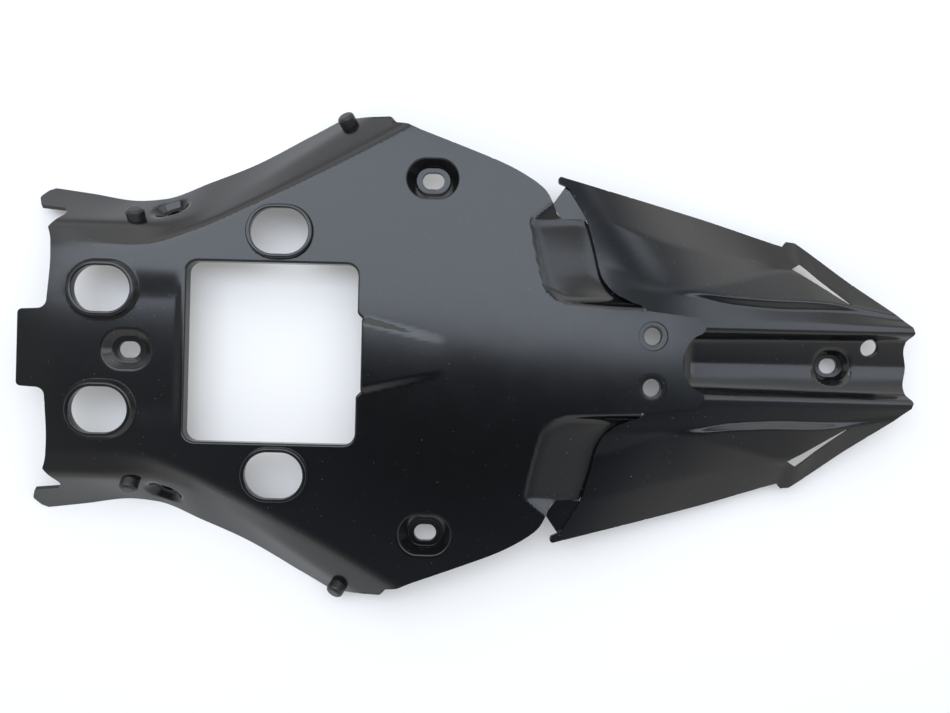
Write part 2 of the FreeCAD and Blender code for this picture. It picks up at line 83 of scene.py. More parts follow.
EDGE_STEPS = 2
WHITE = (1.0, 1.0, 1.0, 1.0)

Point = tuple[float, float]
Triple = tuple[float, float, float]
Run = tuple[Point, ...]
Surface = Callable[[float, float], float]


class Side(Enum):
    """The two hands of the tray, by the sign of Y."""

    LEFT = 1
    RIGHT = -1


class Loop(Enum):
    """Marks that plan edges carry while a sheet is ruled; each opening's mark counts on from OPENING."""

    DIAGONAL = -1
    RULED = 0
    OUTLINE = 1
    OPENING = 2


def mirrored(points: Sequence[Point]) -> list[Point]:
    """Mirror image of a run across the middle, in reverse order."""
    return [(x, -y) for x, y in reversed(points)]


def both_sides(half: list[list[Point]], middle: Sequence[list[Point]] = ()) -> list[list[Point]]:
    """Runs of one half, an optional run across the middle, and the mirrored half."""
    return half + list(middle) + [mirrored(run) for run in reversed(half)]


def spline(points: Sequence[Point], steps: int = 8) -> list[Point]:
    """Sample a smooth curve through points.

    Args:
        points: Points that the curve goes through.
        steps: Samples on each stretch between two points.

    Returns:
        The sampled points, with both ends.
    """
    ends = [points[0], *points, points[-1]]
    out: list[Point] = []
    for before, start, end, after in zip(ends, ends[1:], ends[2:], ends[3:]):
        a, b = Vector((*start, 0.0)), Vector((*end, 0.0))
        near = a + (b - Vector((*before, 0.0))) / 6.0
        far = b - (Vector((*after, 0.0)) - a) / 6.0
        out += [(p.x, p.y) for p in interpolate_bezier(a, near, far, b, steps + 1)[:-1]]
    return out + [tuple(points[-1])]


def arc_corner(before: Point, corner: Point, after: Point, radius: float, steps: int = 6) -> list[Point]:
    """Round one corner of an outline with an arc.

    Args:
        before: A point on the run into the corner.
        corner: The corner itself.
        after: A point on the run out of it.
        radius: Radius of the arc.
        steps: Straight pieces that stand for the arc.

    Returns:
        Points of the arc, from the run in to the run out.
    """
    at = Vector(corner)
    into = (Vector(before) - at).normalized()
    out = (Vector(after) - at).normalized()
    half = into.angle(out) / 2.0
    centre = at + (into + out).normalized() * (radius / math.sin(half))
    start = at + into * (radius / math.tan(half)) - centre
    end = at + out * (radius / math.tan(half)) - centre
    first = math.atan2(start.y, start.x)
    turn = (math.atan2(end.y, end.x) - first + math.pi) % math.tau - math.pi
    angles = [first + turn * step / steps for step in range(steps + 1)]
    return [(centre.x + radius * math.cos(a), centre.y + radius * math.sin(a)) for a in angles]


def outline(runs: Sequence[Sequence[Point]], radii: dict[Point, float]) -> list[Point]:
    """Turn runs into one closed outline.

    Args:
        runs: A run of one point is a corner, and a longer run is a curve through its points.
        radii: Radius of each rounded corner, given for one side and used on both.

    Returns:
        The outline's points, without the closing one.
    """
    loop: list[Point] = []
    for index, run in enumerate(runs):
        if len(run) > 1:
            loop += spline(run)
            continue
        x, y = run[0]
        radius = radii.get((x, abs(y)), 0.0)
        if radius:
            loop += arc_corner(runs[index - 1][-1], run[0], runs[(index + 1) % len(runs)][0], radius)
        else:
            loop.append(run[0])
    return loop


def soft_min(a: float, b: float, blend: float) -> float:
    """Smaller of two values, with the change from one to the other rounded."""
    share = max(blend - abs(a - b), 0.0) / blend
    return min(a, b) - share * share * blend / 4.0


def soft_clamp(value: float, blend: float) -> float:
    """Keep a value between 0 and 1, with both ends rounded."""
    return soft_min(-soft_min(-value, 0.0, blend), 1.0, blend)


def spread(low: float, high: float, step: float) -> list[float]:
    """Evenly spaced places between two ends, about a step apart, without the ends."""
    count = max(round((high - low) / step), 2)
    return [low + (high - low) * i / count for i in range(1, count)]


def soft_step(value: float) -> float:
    """Ease from 0 to 1 as the value goes from 0 to 1."""
    t = min(max(value, 0.0), 1.0)
    return t * t * (3.0 - 2.0 * t)


def ease(value: float, ends: Point) -> float:
    """Ease from 0 to 1 as the value goes from one end to the other."""
    return soft_step((value - ends[0]) / (ends[1] - ends[0]))


class Stations:
    """A table of sizes along one direction, with a smooth value between its rows."""

    def __init__(self, rows: Sequence[Sequence[float]]) -> None:
        """Keep the rows and the slope of each column at each row.

        Args:
            rows: A place and the sizes there, in order of place.
        """
        self.xs = [row[0] for row in rows]
        self.columns = [list(column) for column in zip(*rows)][1:]
        self.slopes = [self._slopes(column) for column in self.columns]

    def _slopes(self, column: Sequence[float]) -> list[float]:
        """Slopes that keep a curve through the column from overshooting.

        Args:
            column: One size at every row.

        Returns:
            Its slope at every row.
        """
        rises = [(b - a) / (x1 - x0) for a, b, x0, x1 in zip(column, column[1:], self.xs, self.xs[1:])]
        slopes = [rises[0]]
        for left, right in zip(rises, rises[1:]):
            slopes.append(2.0 * left * right / (left + right) if left * right > 0.0 else 0.0)
        return slopes + [rises[-1]]

    def at(self, x: float) -> list[float]:
        """Values of every column at a place.

        Args:
            x: The place, kept within the table.

        Returns:
            One value for each column.
        """
        x = min(max(x, self.xs[0]), self.xs[-1])
        i = min(max(bisect_right(self.xs, x) - 1, 0), len(self.xs) - 2)
        span = self.xs[i + 1] - self.xs[i]
        t = (x - self.xs[i]) / span
        a0, a1 = 2 * t**3 - 3 * t**2 + 1, t**3 - 2 * t**2 + t
        b0, b1 = 3 * t**2 - 2 * t**3, t**3 - t**2
        return [a0 * c[i] + a1 * span * s[i] + b0 * c[i + 1] + b1 * span * s[i + 1]
                for c, s in zip(self.columns, self.slopes)]


def polyline(points: Sequence[Point], a: float) -> float:
    """Height of a section polyline at a distance from the middle.

    Args:
        points: Distance from the middle and height of each corner, outwards.
        a: Distance from the middle.

    Returns:
        The height, carried on past the last corner.
    """
    for (a0, z0), (a1, z1) in zip(points, points[1:]):
        if a <= a1:
            return z0 + (z1 - z0) * (a - a0) / (a1 - a0)
    (a0, z0), (a1, z1) = points[-2:]
    return z1 + (z1 - z0) * (a - a1) / (a1 - a0)


def rounded_section(points: Sequence[Point], a: float, width: float, taps: int = 7) -> float:
    """Height of a section polyline with its corners rounded over a width."""
    shifts = [width * (2.0 * tap / (taps - 1) - 1.0) for tap in range(taps)]
    return sum(polyline(points, abs(a + shift)) for shift in shifts) / taps


def only(kind: type, geom: Iterable[Any]) -> list[Any]:
    """Elements of one kind from an operator's result."""
    return [element for element in geom if isinstance(element, kind)]


def face_frame(at: Vector, along: Vector, across: Vector) -> Matrix:
    """Frame on a face.

    Args:
        at: Where the frame lies.
        along: Direction of its X, on the face.
        across: Another direction on the face.

    Returns:
        A frame with Z up and out of the face.
    """
    along = along.normalized()
    out = along.cross(across).normalized()
    out *= math.copysign(1.0, out.z)
    turn = Matrix((along, out.cross(along), out)).transposed().to_4x4()
    return Matrix.Translation(at) @ turn


@dataclass(frozen=True)
class Ring:
    """One ring of a slot-shaped opening, at a level in the opening's own frame."""

    length: float
    width: float
    level: float
    follows: bool = False

    @property
    def half(self) -> float:
        """Half the straight part, never quite zero."""
        return max((self.length - self.width) / 2.0, TINY)

    def point(self, near: Vector, old: Ring) -> Vector:
        """Where a point of an older ring comes to lie on this ring.

        Args:
            near: The point, in the opening's frame.
            old: The ring that the point lies on.

        Returns:
            The point on this ring, in the opening's frame.
        """
        spine = min(max(near.x, -old.half), old.half)
        out = Vector((near.x - spine, near.y)).normalized() * (self.width / 2.0)
        level = near.z + self.level - old.level if self.follows else self.level
        return Vector((spine * self.half / old.half + out.x, out.y, level))

    def loop(self, steps: int = 28) -> list[Vector]:
        """Points around the ring.

        Args:
            steps: Straight pieces that stand for each round end.

        Returns:
            The points, in the opening's frame.
        """
        radius = self.width / 2.0
        points: list[Vector] = []
        for end, start in ((self.half, -math.pi / 2.0), (-self.half, math.pi / 2.0)):
            for step in range(steps + 1):
                angle = start + math.pi * step / steps
                points.append(Vector((end + radius * math.cos(angle), radius * math.sin(angle), self.level)))
        return points


@dataclass
class SlotOpening:
    """A slot-shaped opening with rings above and below the sheet."""

    frame: Matrix
    upper: list[Ring]
    lower: list[Ring]

    def mouth(self) -> list[Point]:
        """Plan outline that the sheet leaves free."""
        points = [self.frame @ p for p in self.upper[0].loop()]
        return [(p.x, p.y) for p in points]

    def move(self, verts: Iterable[BMVert], _lines: Iterable[BMEdge], old: Ring, new: Ring) -> None:
        """Move vertices of one ring onto the next.

        Args:
            verts: Vertices to move.
            _lines: Edges between them, which a slot doesn't need.
            old: The ring that they lie on.
            new: The ring that they move to.
        """
        back = self.frame.inverted()
        for vert in verts:
            vert.co = self.frame @ new.point(back @ vert.co, old)


@dataclass(frozen=True)
class Inset:
    """One ring of a free-form opening, by its distance in from the mouth and its height.

    The height is a change from the sheet, or a height above the floor where the ring is level.
    """

    distance: float
    z: float
    level: bool = False


@dataclass
class FreeOpening:
    """An opening of any outline, whose rings run parallel to its mouth."""

    points: list[Point]
    upper: list[Inset]
    lower: list[Inset]

    def mouth(self) -> list[Point]:
        """Plan outline that the sheet leaves free."""
        return self.points

    def move(self, verts: Iterable[BMVert], lines: Iterable[BMEdge], old: Inset, new: Inset) -> None:
        """Move vertices of one ring onto the next, square to the ring in plan.

        Args:
            verts: Vertices to move.
            lines: Edges between them.
            old: The ring that they lie on.
            new: The ring that they move to.
        """
        centre = sum((Vector(p) for p in self.points), Vector((0.0, 0.0))) / len(self.points)
        inward = {vert: Vector((0.0, 0.0)) for vert in verts}
        for line in lines:
            a, b = line.verts
            run = (b.co - a.co).to_2d().normalized()
            across = Vector((-run.y, run.x))
            across *= -math.copysign(1.0, across.dot(a.co.to_2d() - centre))
            inward[a] += across
            inward[b] += across
        for vert, across in inward.items():
            step = across.normalized() * (new.distance - old.distance)
            vert.co.x += step.x
            vert.co.y += step.y
            vert.co.z = new.z if new.level else vert.co.z + new.z - (0.0 if old.level else old.z)


Opening = SlotOpening | FreeOpening


class Sheet:
    """A moulded sheet: ruled in plan, lifted to a surface and given its wall."""

    def __init__(self, edge: list[Point], openings: Sequence[Opening]) -> None:
        """Fill the plan between the outline and the openings.

        Args:
            edge: Plan outline.
            openings: Openings that the sheet leaves free.
        """
        self.bm = bmesh.new()
        self.openings = list(openings)
        self.mark = self.bm.edges.layers.int.new("loop")
        self._draw(edge, Loop.OUTLINE.value)
        for index, opening in enumerate(self.openings):
            self._draw(opening.mouth(), Loop.OPENING.value + index)
        bmesh.ops.triangle_fill(self.bm, use_beauty=True, use_dissolve=False, edges=self.bm.edges[:])
        for line in self.bm.edges:
            if line[self.mark] == Loop.RULED.value:
                line[self.mark] = Loop.DIAGONAL.value

    def _draw(self, points: Sequence[Point], mark: int) -> None:
        """Draw one closed loop of marked edges.

        Args:
            points: Corners of the loop.
            mark: The mark of its edges.
        """
        verts = [self.bm.verts.new((x, y, 0.0)) for x, y in points]
        for a, b in zip(verts, verts[1:] + verts[:1]):
            self.bm.edges.new((a, b))[self.mark] = mark

    def rule(self, axis: int, places: Iterable[float]) -> None:
        """Cut the plan along lines.

        Args:
            axis: 0 for lines at places on X, 1 for lines at places on Y.
            places: Where the lines lie.
        """
        normal = Vector((0.0, 0.0, 0.0))
        normal[axis] = 1.0
        ahead = self.bm.verts[:] + self.bm.edges[:] + self.bm.faces[:]
        for place in sorted(places):
            cut = bmesh.ops.bisect_plane(self.bm, geom=ahead, dist=ON_PLANE, plane_co=normal * place,
                                         plane_no=normal)
            faces = {face for face in only(BMFace, cut["geom"])
                     if max(vert.co[axis] for vert in face.verts) > place + TINY}
            lines = {line for face in faces for line in face.edges}
            verts = {vert for face in faces for vert in face.verts}
            ahead = [*verts, *lines, *faces]

    def settle(self, weld: float) -> None:
        """Drop the fill's own diagonals and weld vertices that lie close together.

        Args:
            weld: Distance under which vertices are welded.
        """
        diagonals = [line for line in self.bm.edges if line[self.mark] == Loop.DIAGONAL.value]
        bmesh.ops.dissolve_edges(self.bm, edges=diagonals, use_verts=False, use_face_split=False)
        spare = [v for v in self.bm.verts if len(v.link_edges) == 2 and not v.is_boundary]
        bmesh.ops.dissolve_verts(self.bm, verts=spare)
        bmesh.ops.remove_doubles(self.bm, verts=self.bm.verts[:], dist=weld)
        self._mark_rims()

    def _mark_rims(self) -> None:
        """Give each closed rim one mark again, where welding lost it."""
        left = {line for line in self.bm.edges if line.is_boundary}
        while left:
            rim, ahead = set(), [left.pop()]
            while ahead:
                line = ahead.pop()
                rim.add(line)
                near = {other for vert in line.verts for other in vert.link_edges if other in left}
                left -= near
                ahead += near
            mark = max(line[self.mark] for line in rim)
            for line in rim:
                line[self.mark] = mark

    def lift(self, surface: Surface, wall: float, reach: float = 0.5) -> None:
        """Raise the sheet to a surface, then add its underside, its outer edge and the formed openings.

        Near a free-form opening the underside lies straight below, so that the opening's wall stays upright.

        Args:
            surface: Height of the upper face.
            wall: Thickness, square to the sheet.
            reach: Distance over which the surface's slope is taken.
        """
        top = self.bm.verts[:]
        drop = {}
        for vert in top:
            x, y = vert.co.x, vert.co.y
            vert.co.z = surface(x, y)
            rise_x = (surface(x + reach, y) - surface(x - reach, y)) / (2.0 * reach)
            rise_y = (surface(x, y + reach) - surface(x, y - reach)) / (2.0 * reach)
            drop[vert] = Vector((-rise_x, -rise_y, 1.0)).normalized() * wall
        self.bm.normal_update()
        for face in self.bm.faces:
            if face.normal.z < 0.0:
                face.normal_flip()
        rims: dict[int, list[BMEdge]] = {}
        for line in self.bm.edges:
            if line.is_boundary:
                rims.setdefault(line[self.mark], []).append(line)
        copy = bmesh.ops.duplicate(self.bm, geom=top + self.bm.edges[:] + self.bm.faces[:])
        below = {vert: copy["vert_map"][vert] for vert in top}
        under = {line: copy["edge_map"][line] for rim in rims.values() for line in rim}
        cut = {vert for index, opening in enumerate(self.openings) if isinstance(opening, FreeOpening)
               for line in rims[Loop.OPENING.value + index] for vert in line.verts}
        near = KDTree(len(cut))
        for index, vert in enumerate(cut):
            near.insert(vert.co, index)
        near.balance()
        for vert, low in below.items():
            upright = 1.0 - min(near.find(vert.co)[2] / (2.0 * wall), 1.0)
            low.co -= drop[vert].lerp(Vector((0.0, 0.0, drop[vert].z)), upright)
        bmesh.ops.reverse_faces(self.bm, faces=only(BMFace, copy["geom"]))
        for line in rims.get(Loop.OUTLINE.value, []):
            a, b = line.verts
            self.bm.faces.new((a, b, below[b], below[a]))
        for index, opening in enumerate(self.openings):
            rim = rims[Loop.OPENING.value + index]
            upper = self._chain(rim, opening, opening.upper[0], opening.upper[1:])
            lower = self._chain([under[line] for line in rim], opening, opening.upper[0], opening.lower)
            bmesh.ops.weld_verts(self.bm, targetmap={lower[below[v]]: upper[v] for v in upper})

    def _chain(self, rim: list[BMEdge], opening: Opening, first: Any,
               rings: Sequence[Any]) -> dict[BMVert, BMVert]:
        """Carry an opening's rim through its rings.

        Args:
            rim: Edges of the rim.
            opening: The opening.
            first: The ring that the rim lies on.
            rings: The rings that follow.

        Returns:
            The last copy of each rim vertex.
        """
        last = {vert: vert for line in rim for vert in line.verts}
        lines, old = rim, first
        for new in rings:
            made = bmesh.ops.extrude_edge_only(self.bm, edges=lines)["geom"]
            fresh = set(only(BMVert, made))
            lines = [line for line in only(BMEdge, made) if all(vert in fresh for vert in line.verts)]
            onward = {}
            for vert in fresh:
                for line in vert.link_edges:
                    if line.other_vert(vert) not in fresh:
                        onward[line.other_vert(vert)] = vert
            last = {start: onward[end] for start, end in last.items()}
            opening.move(fresh, lines, old, new)
            old = new
        return last

    def trim_foot(self) -> None:
        """Cut the sheet off flat where it stands."""
        everything = self.bm.verts[:] + self.bm.edges[:] + self.bm.faces[:]
        cut = bmesh.ops.bisect_plane(self.bm, geom=everything, dist=ON_PLANE, plane_co=(0.0, 0.0, 0.0),
                                     plane_no=(0.0, 0.0, 1.0), clear_inner=True)
        bmesh.ops.holes_fill(self.bm, edges=only(BMEdge, cut["geom_cut"]), sides=0)

    def add_plate(self, corners: Sequence[Point], z: float, wall: float) -> None:
        """Add a flat plate.

        Args:
            corners: Plan outline of the plate.
            z: Height of its upper face.
            wall: Its thickness.
        """
        verts = [self.bm.verts.new((x, y, z)) for x, y in corners]
        face = self.bm.faces.new(verts)
        made = bmesh.ops.extrude_face_region(self.bm, geom=[face])["geom"]
        bmesh.ops.translate(self.bm, vec=(0.0, 0.0, -wall), verts=only(BMVert, made))

    def soften(self, width: float) -> None:
        """Round the sheet's sharp edges.

        Args:
            width: How far the rounding reaches on each side.
        """
        bmesh.ops.recalc_face_normals(self.bm, faces=self.bm.faces[:])
        sharp = [line for line in self.bm.edges if line.calc_face_angle(0.0) > SHARP_ANGLE]
        bmesh.ops.bevel(self.bm, geom=sharp, offset=width, offset_type="OFFSET", segments=EDGE_STEPS,
                        profile=0.5, affect="EDGES", material=-1, clamp_overlap=True)


def placed(name: str, data: ID) -> Object:
    """Link a new object to the scene.

    Args:
        name: Name of the object.
        data: Its mesh, lamp or lens.

    Returns:
        The object.
    """
    piece = bpy.data.objects.new(name, data)
    bpy.context.scene.collection.objects.link(piece)
    return piece


def make_object(name: str, bm: BMesh, material: Material,
                smooth: float = SMOOTH_ANGLE) -> Object:
    """Turn a millimetre mesh into an object in metres.

    Args:
        name: Name of the object.
        bm: The mesh, which is freed.
        material: Its finish.
        smooth: Angle up to which edges shade smoothly.

    Returns:
        The object, linked to the scene.
    """
    bmesh.ops.recalc_face_normals(bm, faces=bm.faces[:])
    bmesh.ops.scale(bm, vec=(MM, MM, MM), verts=bm.verts[:])
    mesh = bpy.data.meshes.new(name)
    bm.to_mesh(mesh)
    bm.free()
    mesh.materials.append(material)
    mesh.shade_smooth()
    mesh.set_sharp_from_angle(angle=smooth)
    piece = placed(name, mesh)
    even = piece.modifiers.new("even_shading", "WEIGHTED_NORMAL")
    even.keep_sharp = True
    LOG.info("%s: %d faces", name, len(mesh.polygons))
    return piece


# Rounded turns of the openings: how far each step lies out, and its change of level.
CUP_MOUTH = ((1.6, 0.0), (0.5, -0.25), (-0.4, -0.9))
CUP_FLOOR = ((0.9, 0.7), (0.2, 0.15), (-0.8, 0.0))
CUP_HOLE = ((0.8, 0.0), (0.2, -0.2), (0.0, -0.6))
COLLAR_FOOT = ((0.0, 0.0), (-0.25, 0.1), (-0.4, 0.5))
COLLAR_CROWN = ((0.25, -0.9), (-0.1, -0.25), (-0.7, 0.0))
COLLAR_BORE = ((0.9, 0.0), (0.3, -0.2), (0.0, -0.8))
COLLAR_FLARE = 0.9
SEAT_EDGE = ((1.0, 0.0), (0.0, 0.0), (-0.5, -0.3))
SEAT_FLOOR = -0.9
SEAT_HOLE = ((0.9, 0.0), (0.2, -0.2), (0.0, -0.6))
PLAIN_EDGE = ((1.4, 0.0), (0.5, -0.12), (0.0, -0.6))
ROUND_SPINE = 0.02


def spot(at: Point, side: Side, z: float) -> Matrix:
    """Upright frame at a place on one side."""
    return Matrix.Translation((at[0], side.value * at[1], z))


def grown(size: Point, grow: float, level: float, follows: bool = False) -> Ring:
    """A ring of a slot's size, made longer and wider, at a level."""
    return Ring(size[0] + grow, size[1] + grow, level, follows)


def cup(frame: Matrix, mouth: Point, seat: Point, hole: Point, drop: float, wall: float) -> SlotOpening:
    """A sunk cup with a slot in its floor.

    Args:
        frame: Where the mouth lies, with Z out of the sheet.
        mouth: Length and width at the sheet.
        seat: Length and width of the floor.
        hole: Length and width of the slot.
        drop: Depth of the floor.
        wall: Thickness of the sheet.

    Returns:
        The opening.
    """
    end = grown(hole, 0.0, -drop - wall)
    upper = [grown(mouth, 2.0 * wall, 0.0)] + [grown(mouth, out, rise) for out, rise in CUP_MOUTH]
    for size, turns in ((seat, CUP_FLOOR), (hole, CUP_HOLE)):
        upper += [grown(size, out, rise - drop) for out, rise in turns]
    return SlotOpening(frame, [*upper, end], [grown(seat, 2.0 * wall, -drop - wall), end])


def collar(frame: Matrix, hole: Point, base: float, top: float, rise: float, depth: float) -> SlotOpening:
    """An opening with a raised collar around it.

    Args:
        frame: Where the opening lies, with Z out of the sheet.
        hole: Length and width of the opening.
        base: Width of the collar at the sheet.
        top: Width of the collar at its crown.
        rise: Height of the crown.
        depth: How far the collar goes down.

    Returns:
        The opening.
    """
    end = grown(hole, 2.0 * COLLAR_FLARE, -depth)
    upper = [grown(hole, 2.0 * (base + out), level, True) for out, level in COLLAR_FOOT]
    for width, turns in ((top, COLLAR_CROWN), (0.0, COLLAR_BORE)):
        upper += [grown(hole, 2.0 * (width + out), rise + level) for out, level in turns]
    return SlotOpening(frame, [*upper, end], [grown(hole, 2.0 * base, -depth), end])


def seat_ring(frame: Matrix, hole: float, seat: float, drop: float, wall: float) -> SlotOpening:
    """A round hole in a shallow round seat.

    Args:
        frame: Where the hole lies, with Z out of the sheet.
        hole: Diameter of the hole.
        seat: Diameter of the seat.
        drop: Depth of the seat.
        wall: Thickness of the sheet.

    Returns:
        The opening.
    """
    turns = [(seat + out, rise) for out, rise in SEAT_EDGE] + [(seat + SEAT_FLOOR, -drop)]
    turns += [(hole + out, rise - drop) for out, rise in SEAT_HOLE] + [(hole, -wall)]
    upper = [grown((ROUND_SPINE, 0.0), size, level) for size, level in turns]
    return SlotOpening(frame, upper, upper[-1:])


def plain_hole(frame: Matrix, size: float, wall: float) -> SlotOpening:
    """A round hole straight through the sheet with a softened edge."""
    upper = [grown((ROUND_SPINE, 0.0), size + out, level) for out, level in (*PLAIN_EDGE, (0.0, -wall))]
    return SlotOpening(frame, upper, upper[-1:])


@dataclass(frozen=True)
class SheetSizes:
    """Sizes that both trays share: the wall, the holes through both and the edge where they lap."""

    wall: float = 2.5
    edge: float = 0.5
    weld: float = 0.3
    join: Point = (121.0, 16.8)
    join_hole: float = 11.6
    lap: Run = ((102.0, 41.6), (93.5, 47.2), (87.0, 56.5), (82.0, 75.5), (77.4, 90.5), (73.3, 98.5))


@dataclass(frozen=True)
class FrontSizes(SheetSizes):
    """Sizes of the front tray: places in plan, heights and openings."""

    deck_z: float = 30.0
    bend: float = 2.4
    skirt: tuple[tuple[float, ...], ...] = (
        (-300.0, 66.0, 82.5, 2.0, 112.0), (-262.0, 66.5, 83.0, 2.6, 107.2), (-230.0, 67.0, 83.6, 3.7, 103.0),
        (-212.0, 69.0, 83.3, 5.2, 104.6), (-180.0, 80.5, 92.0, 8.5, 116.8),
        (-150.0, 94.5, 108.0, 11.0, 129.4), (-115.0, 112.0, 131.0, 13.0, 148.6),
        (-85.0, 128.0, 151.0, 15.0, 166.5), (-15.0, 168.0, 192.0, 16.5, 206.0))
    tab: Point = (-293.0, 25.0)
    tab_root: Point = (-274.5, 26.0)
    tab_radii: Point = (3.0, 6.0)
    cheek: Run = ((-274.3, 33.0), (-272.6, 55.0), (-273.0, 70.0), (-275.5, 79.0))
    horn_notch: Point = (-265.3, 93.4)
    horn: Run = ((-288.2, 95.6), (-293.0, 102.4), (-290.6, 108.0))
    horn_radii: tuple[float, float, float, float] = (4.0, 1.2, 3.0, 3.4)
    beyond_foot: Run = ((-282.0, 114.0), (-232.0, 114.0), (-137.0, 154.0))
    shoulder: Run = ((-112.0, 150.0), (-90.0, 161.8), (-54.0, 158.6))
    shoulder_radii: Point = (12.0, 4.0)
    rear_step: Run = ((-50.0, 153.2), (-42.0, 151.5))
    rear_step_r: float = 2.0
    rear_edge: Run = ((-33.0, 147.6), (-1.4, 136.0), (22.0, 126.8), (38.0, 118.4), (48.5, 110.5),
                      (53.4, 102.5), (56.6, 95.5))
    pocket_rear: Run = ((60.0, 92.4), (76.4, 92.4), (79.8, 86.5), (88.0, 84.0), (93.0, 78.0), (98.0, 60.0),
                        (106.0, 52.0), (113.5, 47.0))
    tongue: Run = ((114.5, 33.5), (150.4, 29.4), (155.6, 22.4))
    tongue_radii: Point = (3.0, 1.6)
    bite: Run = ((153.0, 19.2), (147.6, 16.2), (142.6, 9.2), (140.4, 0.0))
    pocket_mouth: Run = ((98.3, 138.9), (38.3, 91.6), (44.3, 62.0), (50.0, 43.5), (62.0, 35.4),
                         (132.0, 33.4))
    pocket_runs: tuple[float, ...] = (2.0, 2.0, 5.0, 5.0)
    pocket_foot: float = 88.5
    pocket_blend: float = 0.8
    pocket_front: Run = ((43.5, 51.0), (62.0, 45.3), (87.0, 39.4))
    pocket_depth: float = 8.5
    pocket_ease: float = 0.2
    lap_start: Run = ((119.0, 36.0), (110.0, 38.0))
    window: Triple = (-184.0, -72.0, 58.8)
    window_r: float = 9.0
    window_notch: Triple = (3.2, 27.6, 2.0)
    window_roll: float = 1.5
    roll_steps: int = 6
    lip_drop: float = 8.0
    lip_root: float = 0.6
    panel_drop: float = 0.9
    panel_halves: Point = (56.0, 32.0)
    panel_fade: Point = (-276.0, -236.0)
    panel_rears: Point = (-186.8, -190.5)
    ramp_xs: Point = (-82.0, -15.5)
    ramp_halves: Point = (28.0, 11.4)
    ramp_rise: float = 2.8
    ramp_runs: Point = (3.0, 1.4)
    front_oval: Point = (-238.3, 39.2)
    rear_oval: Point = (-123.6, 79.2)
    oval: Point = (38.0, 29.6)
    front_collar: Triple = (5.0, 2.7, 3.2)
    rear_collar: Triple = (3.3, 2.6, 3.2)
    slot: Point = (14.4, 10.6)
    slot_seat: Point = (22.0, 17.0)
    front_slot: Point = (-222.0, 0.0)
    front_slot_mouth: Point = (32.0, 25.0)
    front_slot_drop: float = 4.0
    deck_slot: Point = (-25.0, 116.2)
    deck_slot_mouth: Point = (33.8, 25.4)
    deck_slot_drop: float = 8.0
    skirt_cup: Point = (-202.0, 0.5)
    skirt_cup_sizes: tuple[Point, Point, Point] = ((23.0, 17.0), (17.0, 11.5), (9.5, 6.5))
    skirt_cup_drop: float = 4.0
    join_seat: float = 19.4
    join_drop: float = 0.9
    cell: Point = (2.4, 2.0)
    fine_x: Triple = (36.0, 66.0, 1.2)
    fine_y: Triple = (32.8, 39.0, 0.7)


